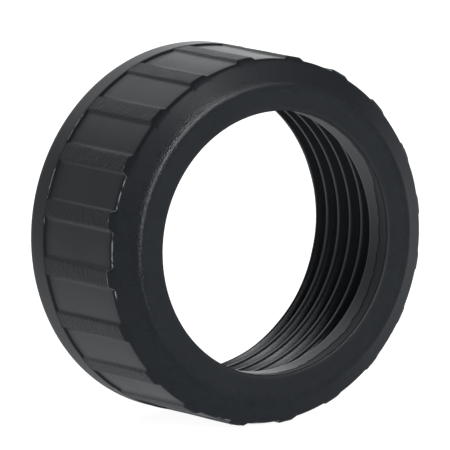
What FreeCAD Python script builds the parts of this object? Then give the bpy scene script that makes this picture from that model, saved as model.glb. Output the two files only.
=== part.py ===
import FreeCAD, Part
import math
import os

# Union nut of a 50 mm PVC-U pipe union: one injection moulding with a coarse internal
# thread. It is drawn with its axis along Z, front face at Z = 0, and is turned at the end so
# that the axis lies along Y with the front face towards -Y and the nut stands on its rim.
# All lengths are in mm and all angles in degrees.

# overall
height = 39.0
bore_radius = 31.25

# front end: flat face, cone, shoulder
cone_foot_radius = 37.6
cone_rise_per_mm = 0.695
face_edge_round = 4.0
shoulder_round = 1.5
bore_edge_round = 0.5

# outer wall: sunk panels between ribs, slightly drafted towards the front
panel_front_radius = 43.3
panel_back_radius = 43.7

# full round rim at the back
rim_radius = 44.2
rim_width = 6.2
rim_ramp_length = 0.5
rim_back_round = 0.8
rim_front_round = 0.3

# grip ribs
rib_count = 20
rib_phase = 7.6
rib_front_radius = 43.95
rib_back_radius = 44.15
rib_top_width = 4.1
rib_foot_width = 5.1
rib_root_radius = 42.2
rib_end_z = 5.9

# lip that holds the tailpiece flange, and the clearance behind it
lip_length = 7.7
relief_radius = 36.6
relief_length = 3.4

# thread: right-handed, trapezoidal with broken crest corners
minor_radius = 34.7
root_radius = 36.45
pitch = 5.0
root_width = 1.9
flank_width = 3.3
crest_break = 0.3
cutter_overlap = 0.5
groove_z_at_zero = 8.61
groove_start_z = 9.8
groove_end_z = 40.3

# plain mouth at the back, where the thread runs out
mouth_radius = 36.5
mouth_length = 0.9


def cone_z(radius):
    """Height of the front cone's surface above the front face at a radius."""
    return (radius - cone_foot_radius) * cone_rise_per_mm


def revolved(points):
    """Solid of revolution about Z of a closed outline given as (radius, z) points."""
    vectors = [FreeCAD.Vector(radius, 0, z) for radius, z in points]
    outline = Part.makePolygon(vectors + [vectors[0]])
    return Part.Face(outline).revolve(FreeCAD.Vector(0, 0, 0), FreeCAD.Vector(0, 0, 1), 360)


def circular_edges(shape, radius, z):
    """Edges of a revolved shape that lie on the circle of this radius and height."""
    found = []
    for edge in shape.Edges:
        if not hasattr(edge.Curve, "Radius"):
            continue
        centre = edge.Curve.Center
        same_radius = abs(edge.Curve.Radius - radius) < 0.01
        if same_radius and abs(centre.z - z) < 0.01:
            found.append(edge)
    return found


def nut_blank():
    """The nut without ribs, thread and mouth: outer wall, rim, lip, relief and thread land."""
    rim_front = height - rim_width
    relief_end = lip_length + relief_length
    relief_step = relief_radius - minor_radius
    blank = revolved([
        (bore_radius, 0.0),
        (cone_foot_radius, 0.0),
        (panel_front_radius, cone_z(panel_front_radius)),
        (panel_back_radius, rim_front - rim_ramp_length),
        (rim_radius, rim_front),
        (rim_radius, height),
        (minor_radius, height),
        (minor_radius, relief_end + relief_step),
        (relief_radius, relief_end),
        (relief_radius, lip_length),
        (bore_radius, lip_length),
    ])
    rounds = [
        (bore_radius, 0.0, bore_edge_round),
        (cone_foot_radius, 0.0, face_edge_round),
        (panel_front_radius, cone_z(panel_front_radius), shoulder_round),
        (rim_radius, rim_front, rim_front_round),
        (rim_radius, height, rim_back_round),
    ]
    for radius, z, size in rounds:
        blank = blank.makeFillet(size, circular_edges(blank, radius, z))
    return blank


def rib():
    """One grip rib: sides narrow outwards, and the front end slopes down to the shoulder."""
    rib_back = height - rim_width + rim_ramp_length
    foot = rib_foot_width / 2
    top = rib_top_width / 2
    section = Part.makePolygon([
        FreeCAD.Vector(rib_root_radius, -foot, 0),
        FreeCAD.Vector(panel_front_radius, -foot, 0),
        FreeCAD.Vector(rim_radius, -top, 0),
        FreeCAD.Vector(rim_radius, top, 0),
        FreeCAD.Vector(panel_front_radius, foot, 0),
        FreeCAD.Vector(rib_root_radius, foot, 0),
        FreeCAD.Vector(rib_root_radius, -foot, 0),
    ])
    bar = Part.Face(section).extrude(FreeCAD.Vector(0, 0, rib_back))
    envelope = revolved([
        (rib_root_radius - 1.0, cone_z(rib_root_radius - 1.0)),
        (panel_front_radius, cone_z(panel_front_radius)),
        (rib_front_radius, rib_end_z),
        (rib_back_radius, rib_back),
        (rib_root_radius - 1.0, rib_back),
    ])
    return bar.common(envelope)


def ribs():
    """All ribs, evenly spaced round the nut."""
    one = rib()
    copies = []
    for index in range(rib_count):
        angle = -(rib_phase + index * 360.0 / rib_count)
        copy = one.copy()
        copy.rotate(FreeCAD.Vector(0, 0, 0), FreeCAD.Vector(0, 0, 1), angle)
        copies.append(copy)
    return copies


def thread_groove():
    """Helical cutter for the thread groove, from the relief to behind the back face."""
    path = Part.makeHelix(pitch, groove_end_z - groove_start_z, root_radius)
    break_radius = minor_radius + crest_break
    inner_radius = minor_radius - cutter_overlap
    inner_half = flank_width / 2 + crest_break + cutter_overlap
    corners = [
        (root_radius, root_width / 2),
        (root_radius, -root_width / 2),
        (break_radius, -flank_width / 2),
        (inner_radius, -inner_half),
        (inner_radius, inner_half),
        (break_radius, flank_width / 2),
    ]
    vectors = [FreeCAD.Vector(radius, 0, z) for radius, z in corners]
    profile = Part.makePolygon(vectors + [vectors[0]])
    cutter = Part.Wire(path).makePipeShell([profile], True, True)
    start_angle = (groove_start_z - groove_z_at_zero) / pitch * 360.0
    cutter.rotate(FreeCAD.Vector(0, 0, 0), FreeCAD.Vector(0, 0, 1), start_angle)
    cutter.translate(FreeCAD.Vector(0, 0, groove_start_z))
    return cutter


def mouth():
    """Cutter for the plain mouth, with a 45 degree cone that ends the thread land."""
    mouth_start = height - mouth_length
    mouth_step = mouth_radius - minor_radius
    return revolved([
        (minor_radius - mouth_step, mouth_start - 2 * mouth_step),
        (mouth_radius, mouth_start),
        (mouth_radius, groove_end_z),
        (minor_radius - mouth_step, groove_end_z),
    ])


def union_nut():
    """The whole nut, turned so that it stands on its rim with the front face towards -Y."""
    nut = nut_blank().cut(thread_groove())
    nut = nut.cut(mouth())
    nut = nut.multiFuse(ribs())
    nut = nut.removeSplitter()
    nut.translate(FreeCAD.Vector(0, 0, -height / 2))
    nut.rotate(FreeCAD.Vector(0, 0, 0), FreeCAD.Vector(1, 0, 0), -90)
    return nut


os.makedirs("parts", exist_ok=True)
nut = union_nut()
nut.exportStep("parts/union_nut.step")
box = nut.optimalBoundingBox()
print("solids", len(nut.Solids), "valid", nut.isValid(), "volume_mm3", round(nut.Volume, 1))
print("box", [round(v, 3) for v in (box.XMin, box.XMax, box.YMin, box.YMax, box.ZMin, box.ZMax)])
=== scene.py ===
import math

import bpy
import numpy as np
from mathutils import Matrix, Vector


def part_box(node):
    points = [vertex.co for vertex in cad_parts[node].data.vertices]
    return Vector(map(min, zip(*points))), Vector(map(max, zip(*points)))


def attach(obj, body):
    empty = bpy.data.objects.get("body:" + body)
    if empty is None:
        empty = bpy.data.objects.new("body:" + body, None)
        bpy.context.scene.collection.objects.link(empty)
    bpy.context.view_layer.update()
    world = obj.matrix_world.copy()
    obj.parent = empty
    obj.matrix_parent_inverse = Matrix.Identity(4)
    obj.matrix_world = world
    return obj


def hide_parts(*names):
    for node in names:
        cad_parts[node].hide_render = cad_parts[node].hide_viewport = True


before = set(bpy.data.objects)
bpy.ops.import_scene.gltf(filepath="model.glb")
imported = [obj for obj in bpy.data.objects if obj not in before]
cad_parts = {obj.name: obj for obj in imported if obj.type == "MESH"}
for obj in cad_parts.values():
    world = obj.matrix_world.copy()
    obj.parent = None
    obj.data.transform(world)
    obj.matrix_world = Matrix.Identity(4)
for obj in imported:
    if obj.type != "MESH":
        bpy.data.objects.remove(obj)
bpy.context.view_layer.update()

# =====================================================================================
# Union nut
# One injection moulding in anthracite PVC-U. The outer wall has low grip ribs with sunk
# panels between them and a full round rim at the back; the front lip holds the tailpiece,
# and a coarse right-handed thread runs from behind the lip to the mouth at the back.
# =====================================================================================

MM = 0.001

# Sizes in mm. Depth is counted from the front face backwards.
low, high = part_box("union_nut")
nut_length = (high.y - low.y) / MM
rim_radius = (high.z - low.z) / 2 / MM
bore_radius = 31.25
cone_foot_radius = 37.6
cone_rise_per_mm = 0.695
panel_front_radius = 43.3
panel_back_radius = 43.7
rib_front_radius = 43.95
rib_back_radius = 44.15
rib_end_depth = 5.1
rim_width = 6.2
ramp_length = 0.5
lip_length = 7.7
relief_radius = 36.6
relief_length = 3.4
mouth_radius = 36.5
mouth_length = 0.9

# Roundings in mm, from the back of the rim to the inside of the lip, and at the mouth
rim_back_round = 0.8
rim_front_round = 0.3
panel_foot_round = 0.8
rib_foot_round = 0.02
shoulder_round = 1.5
rib_end_round = 0.8
face_edge_round = 2.2
bore_edge_round = 0.5
lip_back_round = 0.25
relief_corner_round = 0.3
mouth_edge_round = 0.35

rim_front = nut_length - rim_width
thread_start = lip_length + relief_length
thread_end = nut_length - mouth_length
# The ribs meet the rim just in front of its step. The cone's rows start at its top radius.
rib_foot_depth = rim_front - 0.05
cone_top_radius = 42.4
back_middle_radius = (mouth_radius + rim_radius) / 2


def rounded_outline(corners):
    """Points of an outline given by its corners, as (radius, depth, rounding, arc points,
    points on the straight stretch that follows), and the corner's number at each point, or
    the number plus a half on the stretch after it. Each corner is replaced by the circular
    arc that touches both of its sides, at a distance rounding * tan(turn / 2) from it."""
    place = np.array([corner[:2] for corner in corners], float)
    arcs = []
    for index, (_, _, rounding, arc_points, _) in enumerate(corners):
        if rounding == 0:
            arcs.append(place[index:index + 1])
            continue
        into = place[index] - place[index - 1]
        out = place[index + 1] - place[index]
        into = into / np.linalg.norm(into)
        out = out / np.linalg.norm(out)
        turn = math.atan2(into[0] * out[1] - into[1] * out[0], into @ out)
        start = place[index] - into * rounding * math.tan(abs(turn) / 2)
        centre = start + math.copysign(rounding, turn) * np.array([-into[1], into[0]])
        spoke = start - centre
        turned = np.array([-spoke[1], spoke[0]])
        sweep = np.linspace(0, turn, arc_points)[:, None]
        arcs.append(centre + np.cos(sweep) * spoke + np.sin(sweep) * turned)
    points, numbers = [], []
    for index, corner in enumerate(corners):
        points.append(arcs[index])
        numbers.append(np.full(len(arcs[index]), float(index)))
        if index + 1 < len(corners) and corner[4] > 0:
            share = (np.arange(corner[4]) + 1)[:, None] / (corner[4] + 1)
            first, last = arcs[index][-1], arcs[index + 1][0]
            points.append(first + (last - first) * share)
            numbers.append(np.full(corner[4], index + 0.5))
    return np.concatenate(points), np.concatenate(numbers)


def cone_depth(radius):
    """Depth of the front cone's surface behind the front face at a radius."""
    return (radius - cone_foot_radius) * cone_rise_per_mm


# The corners of the wall's outline by number, the stretches after them, and all other rows
RIM_FRONT_EDGE, SHOULDER, BORE_EDGE = 2, 4, 7
RIM, CONE, FACE, LIP_WALL = 1.5, 5.5, 6.5, 7.5
BEYOND_WALL = 99.0
lip_rows = 15


def wall_outline(foot, foot_round, top, top_round, cone_radius):
    """Outline from the middle of the back face over the rim and the wall to the front
    face, through the bore and over the flange seat to where the thread starts. The wall
    runs from its foot at the rim to its top at the front, both given as (radius, depth),
    and on to the cone at cone_radius."""
    return rounded_outline([
        (back_middle_radius, nut_length, 0, 1, 2),
        (rim_radius, nut_length, rim_back_round, 6, 4),
        (rim_radius, rim_front, rim_front_round, 5, 1),
        (*foot, foot_round, 4, 9),
        (*top, top_round, 8, 1),
        (cone_radius, cone_depth(cone_radius), 0, 1, 4),
        (cone_foot_radius, 0.0, face_edge_round, 9, 6),
        (bore_radius, 0.0, bore_edge_round, 5, lip_rows),
        (bore_radius, lip_length, lip_back_round, 3, 3),
        (relief_radius, lip_length, relief_corner_round, 3, 2),
        (relief_radius, thread_start, 0, 1, 0),
    ])


panel_outline, row_corner = wall_outline(
    (panel_back_radius, rim_front - ramp_length), panel_foot_round,
    (panel_front_radius, cone_depth(panel_front_radius)), shoulder_round, cone_top_radius)
rib_outline, _ = wall_outline(
    (rib_back_radius, rib_foot_depth), rib_foot_round,
    (rib_front_radius, rib_end_depth), rib_end_round, panel_front_radius)
mouth_outline, _ = rounded_outline([
    (mouth_radius, thread_end, 0, 1, 2),
    (mouth_radius, nut_length, mouth_edge_round, 4, 2),
    (back_middle_radius, nut_length, 0, 1, 0),
])
mouth_outline = mouth_outline[:-1]

# Ribs, in degrees round the axis, counted from +X towards +Z. Each rib has the same set of
# columns, closer together on its two sides.
rib_count = 20
rib_phase = 7.6
rib_top_half = 2.3
rib_foot_half = 3.7
half_columns = np.array([
    0, 0.9, 1.75, 2.3, 2.58, 2.86, 3.14, 3.42, 3.7, 4.3, 5.2, 6.1, 7.1, 8.1])
period = 360.0 / rib_count
one_rib = np.concatenate([[-period / 2], -half_columns[:0:-1], half_columns])
columns = (one_rib + rib_phase + period * np.arange(rib_count)[:, None]).ravel()
column_count = len(columns)


def smoothstep(low_edge, high_edge, x):
    """0 below low_edge, 1 above high_edge, and the cubic 3t^2 - 2t^3 between them."""
    t = np.clip((x - low_edge) / (high_edge - low_edge), 0.0, 1.0)
    return t * t * (3 - 2 * t)


on_rib = 1 - smoothstep(rib_top_half, rib_foot_half, np.abs(np.tile(one_rib, rib_count)))


def ripple(angle_deg, depth, most_waves, shortest_mm, seed, waves=12):
    """A smooth random height of about -1 to 1: the sum of cosines that have up to
    most_waves whole waves round the nut, so that the ends meet, and a wavelength of
    shortest_mm or more along it, divided by the root of their number."""
    rng = np.random.default_rng(seed)
    turns = rng.integers(1, most_waves + 1, waves)
    along = rng.uniform(-1, 1, waves) / shortest_mm
    phase = rng.uniform(0, 2 * np.pi, waves)
    height = np.zeros(np.broadcast(angle_deg, depth).shape)
    for turn, step, start in zip(turns, along, phase):
        height = height + np.cos(np.radians(angle_deg) * turn + 2 * np.pi * depth * step + start)
    return height / math.sqrt(waves)


# The knife that cut the sprue disc out of the bore left a wavering line round the lip, which
# starts near the front edge at the upper right: (angle, depth). It is a groove with a burr
# on its front side, and the wall in front of it is cut back a little.
trim_line = np.array([
    (-180, 3.0), (-150, 2.2), (-120, 3.4), (-80, 2.2), (-70, 2.6), (-60, 3.3), (-50, 2.8),
    (-30, 3.3), (-15, 3.7), (0, 3.4), (12, 3.1), (20, 2.6), (26, 1.5), (32, 1.1), (48, 1.2),
    (62, 1.3), (75, 1.1), (110, 1.9), (145, 2.9), (180, 3.0)])
trim_groove = 0.11
trim_burr = 0.05
trim_cut_back = 0.05
trim_groove_rows = np.array([-0.34, -0.12, 0.0, 0.12, 0.34])
trim_waver = 0.22
trim_waver_waves = 90
trim_least_depth = 1.0
trim_first_row = 4

# Moulded walls swell by a few hundredths of a mm over a centimetre or two.
swell_height = 0.03
swell_waves = 16
swell_mm = 14.0

# Broken flash where the mould's ring met its panels, and a fine witness line on the
# shoulder: (from angle, to angle, height in mm).
rim_flash = [
    (138, 147.5, 0.28), (157, 167.5, 0.30), (172.5, 175, 0.20), (196, 198, 0.15),
    (20, 28, 0.2), (74, 78, 0.15), (236, 244, 0.2), (286, 290, 0.2), (322, 333, 0.25)]
shoulder_witness = [(150, 194, 0.16), (14, 40, 0.10), (250, 285, 0.10), (310, 330, 0.12)]
# Half the angle over which a stretch rises, and the points of the two rounded edges that
# are raised, counted from the back
ridge_end = 0.5
flash_point = 3
witness_point = 5


def broken_ridge(stretches, seed):
    """Height of a ridge at every column: each stretch rises and ends over a degree, and is
    made uneven column by column."""
    turn = columns % 360
    height = np.zeros(column_count)
    for start, end, most in stretches:
        begun = smoothstep(start - ridge_end, start + ridge_end, turn)
        ended = smoothstep(end - ridge_end, end + ridge_end, turn)
        height = np.maximum(height, most * (begun * (1 - ended)))
    uneven = np.random.default_rng(seed).uniform(0.15, 1.0, column_count)
    return height * uneven


def wall_surface():
    """Radius and depth over rows and columns. The rib outline and the panel outline are
    mixed by on_rib, which is 1 on a rib's top and 0 on a panel. On the lip wall the rows
    are moved along it so that five of them follow the knife's line. Two rows are raised
    into the flash and the witness line, whose heights are given back as well."""
    mix = on_rib[None, :, None]
    surface = panel_outline[:, None, :] + mix * (rib_outline - panel_outline)[:, None, :]
    radius, depth = surface[..., 0], surface[..., 1]

    outside = (row_corner[:, None] >= RIM) & (row_corner[:, None] <= CONE)
    swell = ripple(columns, depth, swell_waves, swell_mm, seed=11)
    radius = radius + outside * swell_height * swell

    turn = (columns + 180) % 360 - 180
    line = np.interp(turn, trim_line[:, 0], trim_line[:, 1])
    waver = ripple(columns, 0.0, trim_waver_waves, 1.0, seed=5)
    line = np.maximum(line + trim_waver * waver, trim_least_depth)
    line_rows = trim_groove_rows
    line_profile = np.array([trim_cut_back, trim_cut_back - trim_burr, trim_groove, 0.0, 0.0])
    before = trim_first_row
    after = lip_rows - before - len(line_rows)
    first = np.flatnonzero(row_corner == LIP_WALL)[0]
    front_edge, back_edge = depth[first - 1, 0], depth[first + lip_rows, 0]
    share = (np.arange(before) + 1)[:, None] / (before + 1)
    rows = [front_edge + (line + line_rows[0] - front_edge) * share]
    rows.append(line + line_rows[:, None])
    share = (np.arange(after) + 1)[:, None] / (after + 1)
    rows.append(line + line_rows[-1] + (back_edge - line - line_rows[-1]) * share)
    lip = slice(first, first + lip_rows)
    depth[lip] = np.concatenate(rows)
    radius[first:first + before] += trim_cut_back
    radius[first + before:first + before + len(line_rows)] += line_profile[:, None]

    ridge = np.zeros_like(radius)
    flash_row = np.flatnonzero(row_corner == RIM_FRONT_EDGE)[flash_point]
    witness_row = np.flatnonzero(row_corner == SHOULDER)[witness_point]
    ridge[flash_row] = broken_ridge(rim_flash, seed=3) * (1 - on_rib)
    ridge[witness_row] = broken_ridge(shoulder_witness, seed=8)
    return radius + ridge, depth, line, ridge


# Thread, in mm: crest, rounded crest corner, flank and root of the groove, by distance
# along the nut from the middle of the crest. The land ends in 45 degree cones. Points of
# the thread within merge_within of the first or the last ring become part of that ring.
pitch = 5.0
crest_depth_at_zero = 31.11
merge_within = 0.12
groove_profile = np.array([
    (0.0, 34.70), (0.45, 34.70), (0.72, 34.82), (0.90, 35.05), (1.42, 36.20), (1.62, 36.40),
    (2.5, 36.45)])
row_offsets = np.concatenate([-groove_profile[:0:-1, 0], groove_profile[:-1, 0]])
rows_per_pitch = len(row_offsets)


def thread_radius(depth, angle_deg):
    """The distance from the nearest crest line gives the radius by the groove's profile.
    The two cones at the ends win wherever they are wider than the thread."""
    crest = crest_depth_at_zero - pitch * angle_deg / 360
    from_crest = np.abs((depth - crest + pitch / 2) % pitch - pitch / 2)
    groove = np.interp(from_crest, groove_profile[:, 0], groove_profile[:, 1])
    run_in = relief_radius - (depth - thread_start)
    run_out = mouth_radius - (thread_end - depth)
    return np.maximum(groove, np.maximum(run_in, run_out))


def nut_skin():
    """The closed skin of the nut. The wall rows and the mouth rows are rings. The thread
    rows follow the helix, so each one that comes round to its first column has moved on by
    one pitch and joins the row one pitch further; where a helical row reaches the first or
    the last ring it is merged into that ring."""
    wall_r, wall_d, line, ridge = wall_surface()
    mouth_r, mouth_d = (side[:, None] * np.ones(column_count) for side in mouth_outline.T)
    first_turn = math.floor((thread_start - crest_depth_at_zero) / pitch) - 1
    last_turn = math.ceil((thread_end - crest_depth_at_zero) / pitch) + 2
    turn = np.repeat(np.arange(first_turn, last_turn + 1), rows_per_pitch)
    offset = np.tile(row_offsets, last_turn - first_turn + 1)
    round_once = np.append(columns, columns[0] + 360)
    row_start = crest_depth_at_zero + turn * pitch + offset
    helix_d = row_start[:, None] - pitch * round_once / 360

    counts = [len(wall_r), len(mouth_r), len(helix_d)]
    ids = np.arange(sum(counts) * column_count).reshape(-1, column_count)
    wall_id, mouth_id, helix_id = np.split(ids, np.cumsum(counts)[:-1])

    def closed(ring):
        return np.concatenate([ring, ring[:, :1]], axis=1)

    moved_on = np.roll(helix_id[:, :1], rows_per_pitch, axis=0)
    helix_id = np.concatenate([helix_id, moved_on], axis=1)
    first_ring, last_ring = closed(wall_id)[-1], closed(mouth_id)[0]
    helix_id = np.where(helix_d <= thread_start + merge_within, first_ring, helix_id)
    helix_id = np.where(helix_d >= thread_end - merge_within, last_ring, helix_id)

    strips = [closed(wall_id), helix_id, closed(mouth_id),
              closed(np.stack([mouth_id[-1], wall_id[0]]))]
    quads = np.concatenate([
        np.stack([s[:-1, :-1], s[:-1, 1:], s[1:, 1:], s[1:, :-1]], axis=-1).reshape(-1, 4)
        for s in strips])
    open_d = helix_d[:, :-1]
    radius = np.concatenate([wall_r, mouth_r, thread_radius(open_d, columns)])
    depth = np.concatenate([wall_d, mouth_d, open_d])
    return radius, depth, quads, line, ridge


def whole_faces(quads):
    """Quads whose corners were merged are dropped when fewer than three are left, and made
    triangles when three are."""
    same = quads == np.roll(quads, -1, axis=1)
    crossed = (quads[:, 0] == quads[:, 2]) | (quads[:, 1] == quads[:, 3])
    three = (same.sum(axis=1) == 1) & ~crossed
    triangles = quads[three][~same[three]].reshape(-1, 3)
    return [quads[~same.any(axis=1) & ~crossed], triangles]


def new_piece(name, points, polygons):
    """A smooth mesh object at the origin from an (n, 3) array in metres and arrays of
    faces, with unused points left out; also gives the numbers of the points it uses."""
    used = np.unique(np.concatenate([p.ravel() for p in polygons]))
    renumber = np.zeros(len(points), int)
    renumber[used] = np.arange(len(used))
    flat = np.concatenate([renumber[p].ravel() for p in polygons])
    sizes = np.concatenate([np.full(len(p), p.shape[1]) for p in polygons])
    mesh = bpy.data.meshes.new(name)
    mesh.vertices.add(len(used))
    mesh.vertices.foreach_set("co", points[used].astype(np.float32).ravel())
    mesh.loops.add(len(flat))
    mesh.loops.foreach_set("vertex_index", flat.astype(np.int32))
    mesh.polygons.add(len(sizes))
    mesh.polygons.foreach_set("loop_start", (np.cumsum(sizes) - sizes).astype(np.int32))
    mesh.polygons.foreach_set("use_smooth", np.ones(len(sizes), bool))
    mesh.update(calc_edges=True)
    piece = bpy.data.objects.new(name, mesh)
    bpy.context.scene.collection.objects.link(piece)
    return piece, used, flat


def placed(radius, depth, angle_deg):
    """Points in metres: the angle runs from +X towards +Z, and depth runs from the front
    face towards +Y."""
    turn = np.radians(angle_deg)
    y = depth - nut_length / 2
    return np.stack([radius * np.cos(turn), y, radius * np.sin(turn)], axis=-1) * MM


skin_radius, skin_depth, skin_quads, knife_line, flash_and_witness_height = nut_skin()
skin_angle = np.broadcast_to(columns, skin_radius.shape)
skin_points = placed(skin_radius, skin_depth, skin_angle).reshape(-1, 3)
nut, used, corners = new_piece("union_nut_moulding", skin_points, whole_faces(skin_quads))


def paint(name, weight):
    """Stores a weight for each point of the nut, given over the skin's rows and columns, as
    a float attribute for the material."""
    layer = nut.data.attributes.new(name, "FLOAT", "POINT")
    layer.data.foreach_set("value", weight.astype(np.float32).ravel()[used])


rows_beyond = len(skin_radius) - len(row_corner)
row_kind = np.concatenate([row_corner, np.full(rows_beyond, BEYOND_WALL)])[:, None]
on_wall = (row_kind >= RIM_FRONT_EDGE) & (row_kind <= SHOULDER)
paint("rib_top", on_rib * on_wall)
# the grain is full up to 0.6 mm from the face's edge and gone at 1.9 mm
from_edge = np.abs(skin_radius - cone_foot_radius)
on_face_edge = (row_kind >= CONE) & (row_kind <= FACE)
paint("edge_grain", on_face_edge * (1 - smoothstep(0.6, 1.9, from_edge)))
# the cut band ends within 0.1 mm of the knife's line
on_lip = (row_kind >= BORE_EDGE) & (row_kind <= LIP_WALL)
paint("trimmed", on_lip * (1 - smoothstep(-0.1, 0.1, skin_depth - knife_line)))
# painted highlight: the flash and the witness line are painted light grey to stand in for their
# glints, from a ridge height of 0.03 mm and fully at 0.14 mm
torn = np.zeros_like(skin_radius)
torn[:len(flash_and_witness_height)] = smoothstep(0.03, 0.14, flash_and_witness_height)
paint("torn", torn)

# Unrolled map in mm: around the nut and along it. Faces across the first column go on
# past the full turn, so the map has no jump there.
unrolled = nut.data.uv_layers.new(name="unrolled")
turn_at_corner = skin_angle.ravel()[used][corners]
depth_at_corner = skin_depth.ravel()[used][corners]
face_start = np.zeros(len(nut.data.polygons), np.int32)
nut.data.polygons.foreach_get("loop_start", face_start)
lowest = np.minimum.reduceat(turn_at_corner, face_start)
highest = np.maximum.reduceat(turn_at_corner, face_start)
face_size = np.diff(np.append(face_start, len(corners)))
across = np.repeat((highest - lowest) > 180, face_size)
middle = columns[0] + 180
turn_at_corner = turn_at_corner + 360 * (across & (turn_at_corner < middle))
around_mm = np.radians(turn_at_corner) * rim_radius
unrolled.data.foreach_set(
    "uv", np.stack([around_mm, depth_at_corner], axis=-1).astype(np.float32).ravel())

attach(nut, "root")
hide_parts("union_nut")


def linear(hex_colour):
    """An sRGB hex colour as linear RGBA."""
    channels = np.array([int(hex_colour[i:i + 2], 16) for i in (1, 3, 5)]) / 255
    curved = ((channels + 0.055) / 1.055) ** 2.4
    return (*np.where(channels <= 0.04045, channels / 12.92, curved), 1.0)


def add_node(tree, kind, inputs, **settings):
    """Adds a shader node: settings go to its properties, and inputs to its sockets by name
    or number, as a value or as the (node, output) that is linked to it."""
    node = tree.nodes.new(kind)
    for name, value in settings.items():
        setattr(node, name, value)
    for name, value in inputs.items():
        if isinstance(value, tuple) and hasattr(value[0], "outputs"):
            tree.links.new(value[0].outputs[value[1]], node.inputs[name])
        else:
            node.inputs[name].default_value = value
    return node


def empty_material(name):
    """A material with no nodes yet, and its node tree."""
    material = bpy.data.materials.new(name)
    material.use_nodes = True
    material.node_tree.nodes.clear()
    return material, material.node_tree


def moulded_pvc_u():
    """Injection-moulded PVC-U in anthracite: a dielectric with a satin skin. The eye sees
    a nearly black grey whose gloss comes and goes softly with the flow of the melt, rib
    tops combed by fine slanting streaks, a coarse spark-eroded grain on the rounded edge
    of the face, and a duller cut band inside the lip. The flash and the witness line are
    painted light grey, a painted highlight that stands in for their glints."""
    material, tree = empty_material("moulded_pvc_u")
    place = add_node(tree, "ShaderNodeTexCoord", {})
    unrolled_mm = add_node(tree, "ShaderNodeUVMap", {}, uv_map="unrolled")

    def noise(size_mm, detail, vector=(place, "Object"), size_unit=MM):
        return (add_node(tree, "ShaderNodeTexNoise", {
            "Vector": vector, "Scale": 1 / (size_mm * size_unit), "Detail": detail,
            "Roughness": 0.55}), "Fac")

    def weight(name):
        return (add_node(tree, "ShaderNodeAttribute", {}, attribute_name=name), "Fac")

    def scaled(value, factor, plus=0.0):
        # value * factor + plus, where each of the three can be a number or a link
        return (add_node(tree, "ShaderNodeMath", {0: value, 1: factor, 2: plus},
                         operation="MULTIPLY_ADD"), "Value")

    cloud = noise(16.0, 3.0)
    mottle = noise(2.2, 4.0)
    # moulded skin: peel of about half a millimetre, drawn a little coarser than the real one
    peel = noise(0.75, 3.0)
    # spark-eroded grain of 0.35 mm on the face's edge
    grain = noise(0.34, 2.0)

    # streaks 1.9 mm long and 0.45 mm apart, slanting 59 degrees from the rib's length
    slanted = add_node(tree, "ShaderNodeMapping", {
        "Vector": (unrolled_mm, "UV"), "Rotation": (0, 0, math.radians(31)),
        "Scale": (1.9, 0.45, 1.0)}, vector_type="TEXTURE")
    streak = noise(1.0, 2.5, vector=(slanted, "Vector"), size_unit=1.0)

    tint = add_node(tree, "ShaderNodeMix", {
        "Factor": cloud, 6: linear("#1f2226"), 7: linear("#24272b")}, data_type="RGBA")
    speck = add_node(tree, "ShaderNodeMapRange", {
        "Value": mottle, "From Min": 0.3, "From Max": 0.7, "To Min": 0.93, "To Max": 1.07})
    colour = add_node(tree, "ShaderNodeVectorMath", {
        0: (tint, 2), "Scale": (speck, "Result")}, operation="SCALE")
    # painted highlight: light grey on the flash and witness ridges stands in for their glints
    colour = add_node(tree, "ShaderNodeMix", {
        "Factor": weight("torn"), 6: (colour, "Vector"), 7: linear("#a9afb4")},
        data_type="RGBA")

    rib_top = weight("rib_top")
    edge_grain = weight("edge_grain")
    trimmed = weight("trimmed")

    # satin skin of 0.21 to 0.37, duller on the streaks and the cut band, glossier on the grain
    roughness = scaled(cloud, 0.10, 0.21)
    roughness = scaled(mottle, 0.06, roughness)
    roughness = scaled(rib_top, 0.08, roughness)
    roughness = scaled(trimmed, 0.22, roughness)
    roughness = scaled(edge_grain, -0.08, roughness)

    # heights in mm; streaks and grain swing evenly about the surface, so that they leave no
    # step at their borders
    streak = scaled(streak, 1.0, -0.5)
    grain = scaled(grain, 1.0, -0.5)
    height = scaled(peel, 0.012)
    height = scaled(streak, scaled(rib_top, 0.34), height)
    height = scaled(grain, scaled(edge_grain, 0.11), height)
    height = scaled(grain, scaled(trimmed, 0.02), height)
    relief = add_node(tree, "ShaderNodeBump", {
        "Strength": 1.0, "Distance": MM, "Height": height})

    shader = add_node(tree, "ShaderNodeBsdfPrincipled", {
        "Base Color": (colour, 2), "Roughness": roughness, "IOR": 1.53,
        "Normal": (relief, "Normal")})
    add_node(tree, "ShaderNodeOutputMaterial", {"Surface": (shader, "BSDF")})
    return material


nut.data.materials.append(moulded_pvc_u())

# =====================================================================================
# Studio
# A white light table that glows by itself, soft boxes behind the nut, a dim room in front
# of it, and a row of small lamps that draws the gleam on the rounded edge of the face.
# =====================================================================================

floor_half = 6.0
floor_points = np.array([
    (side * floor_half, back * floor_half, low.z)
    for side, back in ((-1, -1), (1, -1), (1, 1), (-1, 1))])
floor, _, _ = new_piece("studio_floor", floor_points, [np.array([[0, 1, 2, 3]])])
# The gloss on the nut comes from the soft boxes alone.
floor.visible_glossy = False
table_glow = 0.93

floor_material, floor_tree = empty_material("white_light_table")
floor_shader = add_node(floor_tree, "ShaderNodeBsdfPrincipled", {
    "Base Color": linear("#f2f2f2"), "Roughness": 0.9, "Specular IOR Level": 0.0,
    "Emission Color": (1.0, 1.0, 1.0, 1.0), "Emission Strength": table_glow})
add_node(floor_tree, "ShaderNodeOutputMaterial", {"Surface": (floor_shader, "BSDF")})
floor.data.materials.append(floor_material)

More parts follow.
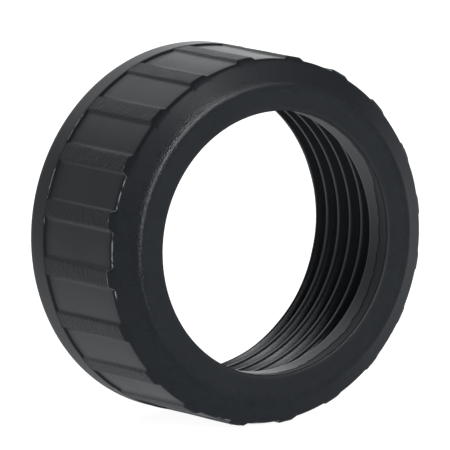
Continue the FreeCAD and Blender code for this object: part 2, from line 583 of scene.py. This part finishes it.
# Soft boxes: direction from the nut, tightness (the power of the cosine) and brightness.
# The first five stand behind the nut, the next four at its sides, above it and in front,
# and the last six are the row of small lamps.
room_brightness = 0.05
soft_boxes = [
    ((0.0, 0.84, 0.53), 14, 0.66),
    ((0.53, 0.84, 0.15), 16, 1.04),
    ((-0.53, 0.84, 0.10), 12, 0.21),
    ((-0.31, 0.84, -0.43), 12, 0.46),
    ((0.22, 0.84, -0.49), 16, 0.28),
    ((-0.95, 0.20, 0.20), 14, 0.14),
    ((0.37, -0.50, 0.78), 10, 0.32),
    ((0.97, 0.20, -0.10), 10, 0.29),
    ((0.53, -0.84, -0.13), 8, 0.13),
    ((0.12, -0.77, 0.63), 320, 25.0),
    ((0.06, -0.87, 0.49), 260, 14.0),
    ((-0.03, -0.93, 0.36), 260, 12.0),
    ((-0.08, -0.965, 0.24), 260, 9.0),
    ((-0.13, -0.98, 0.12), 260, 7.0),
    ((-0.16, -0.985, -0.03), 260, 4.0),
]
world = bpy.data.worlds.new("studio")
bpy.context.scene.world = world
world.use_nodes = True
world_tree = world.node_tree
world_tree.nodes.clear()
sky = add_node(world_tree, "ShaderNodeTexCoord", {})
brightness = room_brightness
for toward, tightness, strength in soft_boxes:
    unit = np.array(toward) / np.linalg.norm(toward)
    facing = add_node(world_tree, "ShaderNodeVectorMath", {
        0: (sky, "Generated"), 1: tuple(unit)}, operation="DOT_PRODUCT")
    lit_side = add_node(world_tree, "ShaderNodeMath", {
        0: (facing, "Value"), 1: 0.0}, operation="MAXIMUM")
    falloff = add_node(world_tree, "ShaderNodeMath", {
        0: (lit_side, "Value"), 1: tightness}, operation="POWER")
    total = add_node(world_tree, "ShaderNodeMath", {
        0: (falloff, "Value"), 1: strength, 2: brightness}, operation="MULTIPLY_ADD")
    brightness = (total, "Value")
# The lamps are a little cooler than the camera's white. The camera itself sees an
# overexposed white backdrop behind the table.
backdrop_brightness = 1.3
ray = add_node(world_tree, "ShaderNodeLightPath", {})
seen = add_node(world_tree, "ShaderNodeMath", {
    0: (ray, "Is Camera Ray"), 1: backdrop_brightness, 2: brightness}, operation="MULTIPLY_ADD")
background = add_node(world_tree, "ShaderNodeBackground", {
    "Color": (0.96, 0.985, 1.0, 1.0), "Strength": (seen, "Value")})
add_node(world_tree, "ShaderNodeOutputWorld", {"Surface": (background, "Background")})

# Camera: long lens, a little above the table, to the left of the nut's axis
camera_azimuth = math.radians(-32.47)
camera_elevation = math.radians(7.77)
camera_distance = 1.66
aim_left = 1.63 * MM
aim_up = 2.1 * MM
back = np.array([
    math.sin(camera_azimuth) * math.cos(camera_elevation),
    -math.cos(camera_azimuth) * math.cos(camera_elevation),
    math.sin(camera_elevation)])
right = np.array([math.cos(camera_azimuth), math.sin(camera_azimuth), 0.0])
up = np.cross(back, right)
camera_data = bpy.data.cameras.new("camera")
camera_data.sensor_width = 36.0
camera_data.lens = 560.0
camera_data.clip_start = 0.05
camera_data.clip_end = 50.0
camera = bpy.data.objects.new("camera", camera_data)
camera.location = back * camera_distance - right * aim_left + up * aim_up
camera.rotation_euler = (math.pi / 2 - camera_elevation, 0.0, camera_azimuth)
bpy.context.scene.collection.objects.link(camera)
bpy.context.scene.camera = camera
bpy.context.scene.view_settings.view_transform = "Standard"
